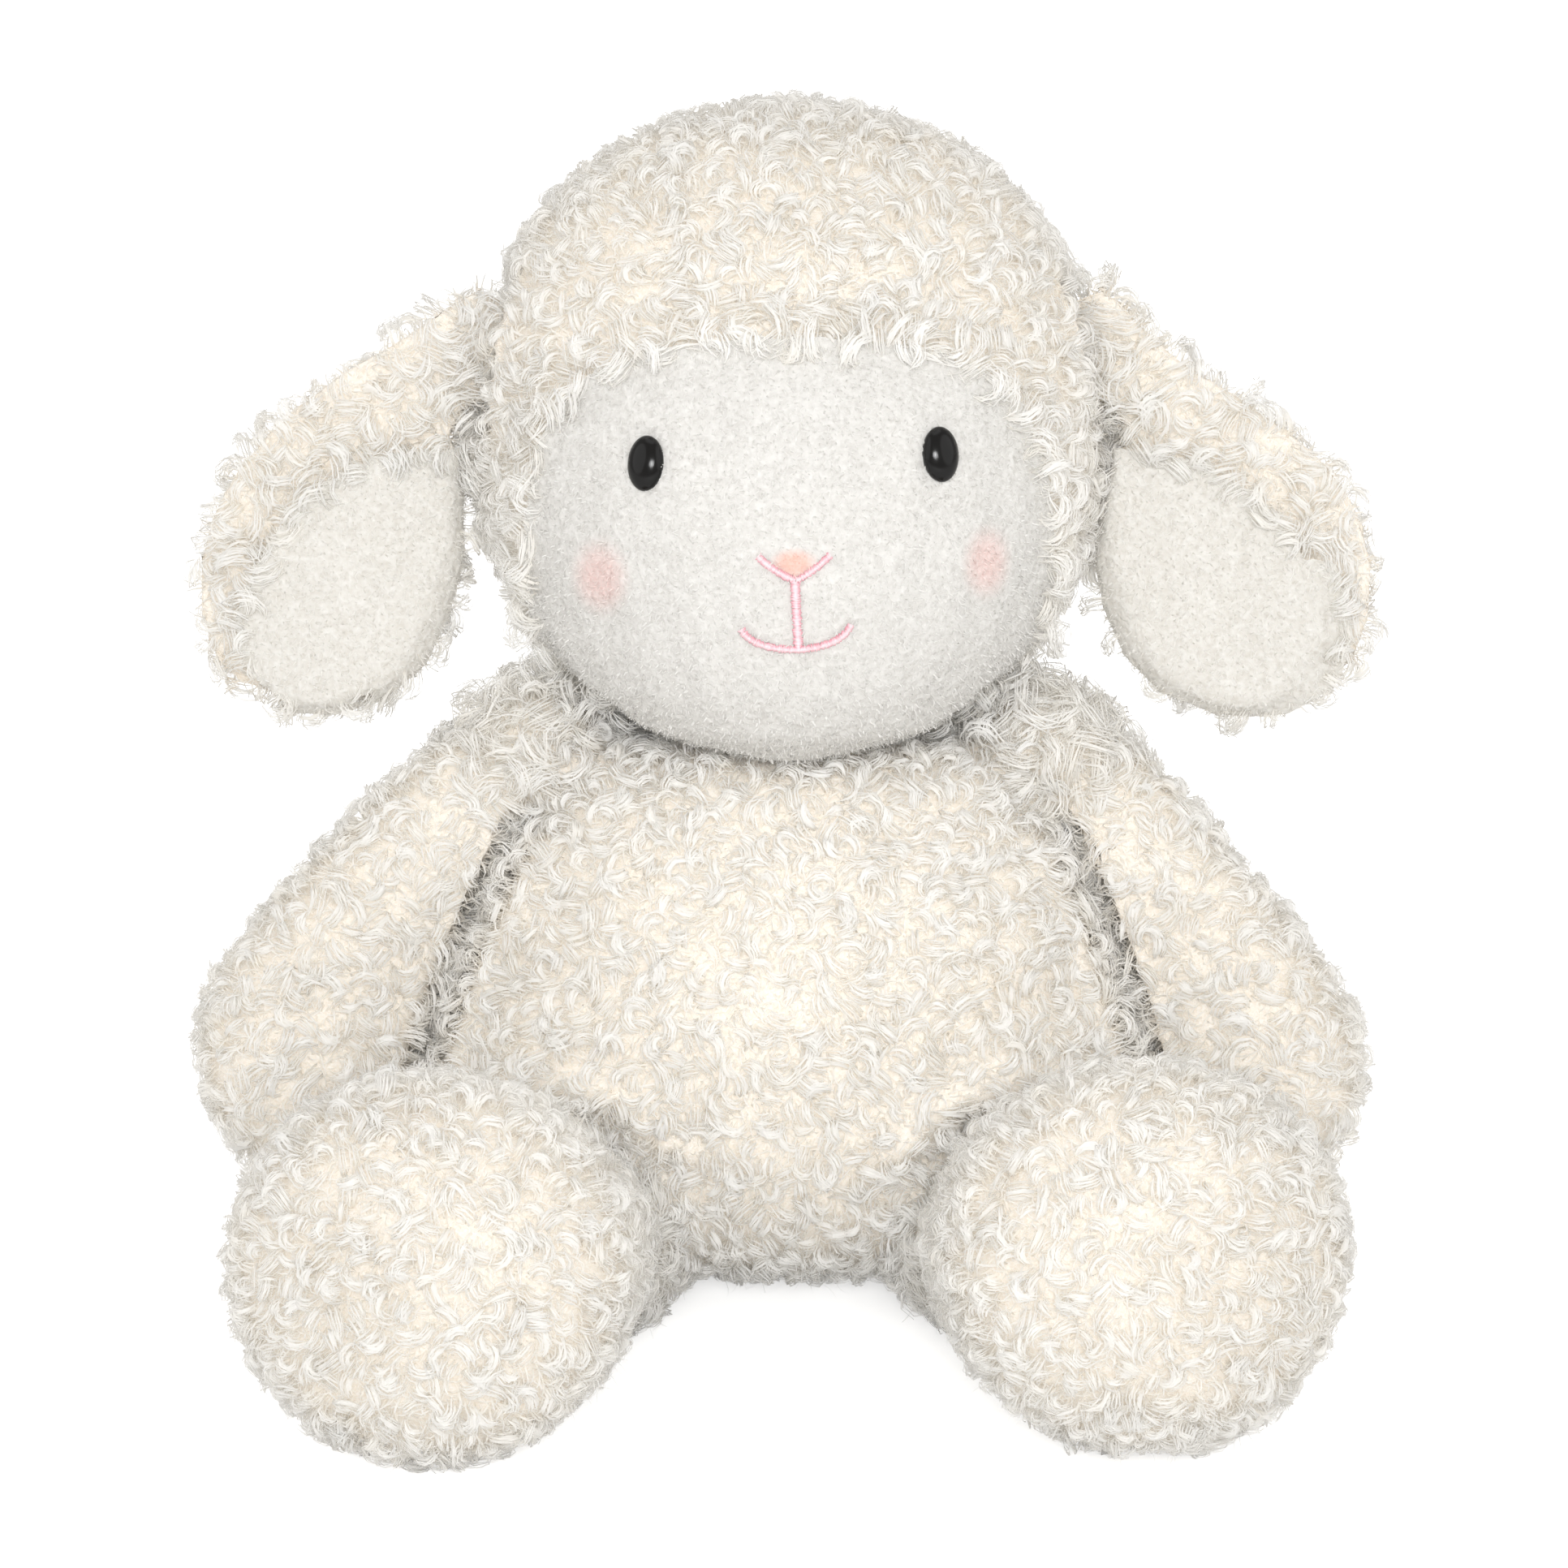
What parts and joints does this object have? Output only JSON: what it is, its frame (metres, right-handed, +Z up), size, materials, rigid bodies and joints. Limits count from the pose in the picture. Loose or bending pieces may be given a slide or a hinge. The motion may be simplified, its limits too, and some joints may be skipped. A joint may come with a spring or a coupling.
{
  "type": "plush sheep",
  "caption": "Seated stuffed toy sheep in cream curly fabric, with a smooth face, drooping ears, stitched nose and mouth, and floppy arms and legs.",
  "frame": {"origin": "middle of the flat face under the seat, on the floor", "axes": "+Z up, the toy faces -Y and leans back by 14 degrees, +X to the right of someone who looks at its face"},
  "size_m": [0.2167, 0.1951, 0.205],
  "materials": {
    "curly_wool": "curly faux wool pile, cream white, matte with a soft sheen",
    "short_pile": "short smooth plush pile, off white, matte",
    "ear_lining": "short bobbly plush pile, warm cream, matte",
    "polyester_fill": "white polyester fibre, packed",
    "bag_cloth": "plain woven cotton bag of plastic pellets",
    "black_plastic": "glossy moulded black",
    "white_plastic": "satin moulded white",
    "pink_thread": "rayon embroidery thread, satin sheen"
  },
  "bodies": {
    "body": {"body_front_panel": "curly_wool", "body_back_left_panel": "curly_wool", "body_back_right_panel": "curly_wool", "seat_panel": "curly_wool", "body_filling": "polyester_fill", "pellet_bag": "bag_cloth"},
    "neck": {"neck_filling": "polyester_fill"},
    "head": {"face_panel": "short_pile", "head_gusset": "curly_wool", "head_left_panel": "curly_wool", "head_right_panel": "curly_wool", "head_filling": "polyester_fill", "nose_stitching": "pink_thread", "mouth_stitching": "pink_thread", "left_eye": "black_plastic", "right_eye": "black_plastic", "left_eye_washer": "white_plastic", "right_eye_washer": "white_plastic"},
    "left_ear": {"left_ear_back": "curly_wool", "left_ear_lining": "ear_lining"},
    "right_ear": {"right_ear_back": "curly_wool", "right_ear_lining": "ear_lining"},
    "left_arm": {"left_arm_front_panel": "curly_wool", "left_arm_back_panel": "curly_wool", "left_arm_filling": "polyester_fill"},
    "right_arm": {"right_arm_front_panel": "curly_wool", "right_arm_back_panel": "curly_wool", "right_arm_filling": "polyester_fill"},
    "left_leg": {"left_leg_cover": "curly_wool", "left_sole": "curly_wool", "left_leg_filling": "polyester_fill"},
    "right_leg": {"right_leg_cover": "curly_wool", "right_sole": "curly_wool", "right_leg_filling": "polyester_fill"},
    "tail": {"tail": "curly_wool"}
  },
  "joints": [
    {"name": "head_turn", "type": "hinge", "parent": "body", "child": "neck", "pos_m": [0, 0.00209, 0.06817], "axis": [0, 0.2419, 0.9703], "range_deg": [-25, 25], "stiffness_Nm_per_rad": 0.3},
    {"name": "head_nod", "type": "hinge", "parent": "neck", "child": "head", "pos_m": [0, 0.00209, 0.06817], "axis": [1, 0, 0], "range_deg": [-8, 8], "stiffness_Nm_per_rad": 0.8},
    {"name": "left_ear_lift", "type": "hinge", "parent": "head", "child": "left_ear", "pos_m": [-0.056, 0.02337, 0.1618], "axis": [0, 0.9703, -0.2419], "range_deg": [-3, 60], "stiffness_Nm_per_rad": 0.04},
    {"name": "right_ear_lift", "type": "hinge", "parent": "head", "child": "right_ear", "pos_m": [0.056, 0.02337, 0.1618], "axis": [0, -0.9703, 0.2419], "range_deg": [-3, 60], "stiffness_Nm_per_rad": 0.04},
    {"name": "left_arm_swing", "type": "hinge", "parent": "body", "child": "left_arm", "pos_m": [-0.045, 0.00596, 0.08781], "axis": [-1, 0, 0], "range_deg": [-15, 80], "stiffness_Nm_per_rad": 0.06},
    {"name": "right_arm_swing", "type": "hinge", "parent": "body", "child": "right_arm", "pos_m": [0.045, 0.00596, 0.08781], "axis": [-1, 0, 0], "range_deg": [-15, 80], "stiffness_Nm_per_rad": 0.06},
    {"name": "left_leg_swing", "type": "hinge", "parent": "body", "child": "left_leg", "pos_m": [-0.036, -0.04421, 0.0189], "axis": [-1, 0, 0], "range_deg": [-30, 20], "stiffness_Nm_per_rad": 0.25},
    {"name": "right_leg_swing", "type": "hinge", "parent": "body", "child": "right_leg", "pos_m": [0.036, -0.04421, 0.0189], "axis": [-1, 0, 0], "range_deg": [-30, 20], "stiffness_Nm_per_rad": 0.25},
    {"name": "tail_wag", "type": "hinge", "parent": "body", "child": "tail", "pos_m": [0, 0.03753, 0.02429], "axis": [0, 0.2419, 0.9703], "range_deg": [-25, 25], "stiffness_Nm_per_rad": 0.01}
  ]
}
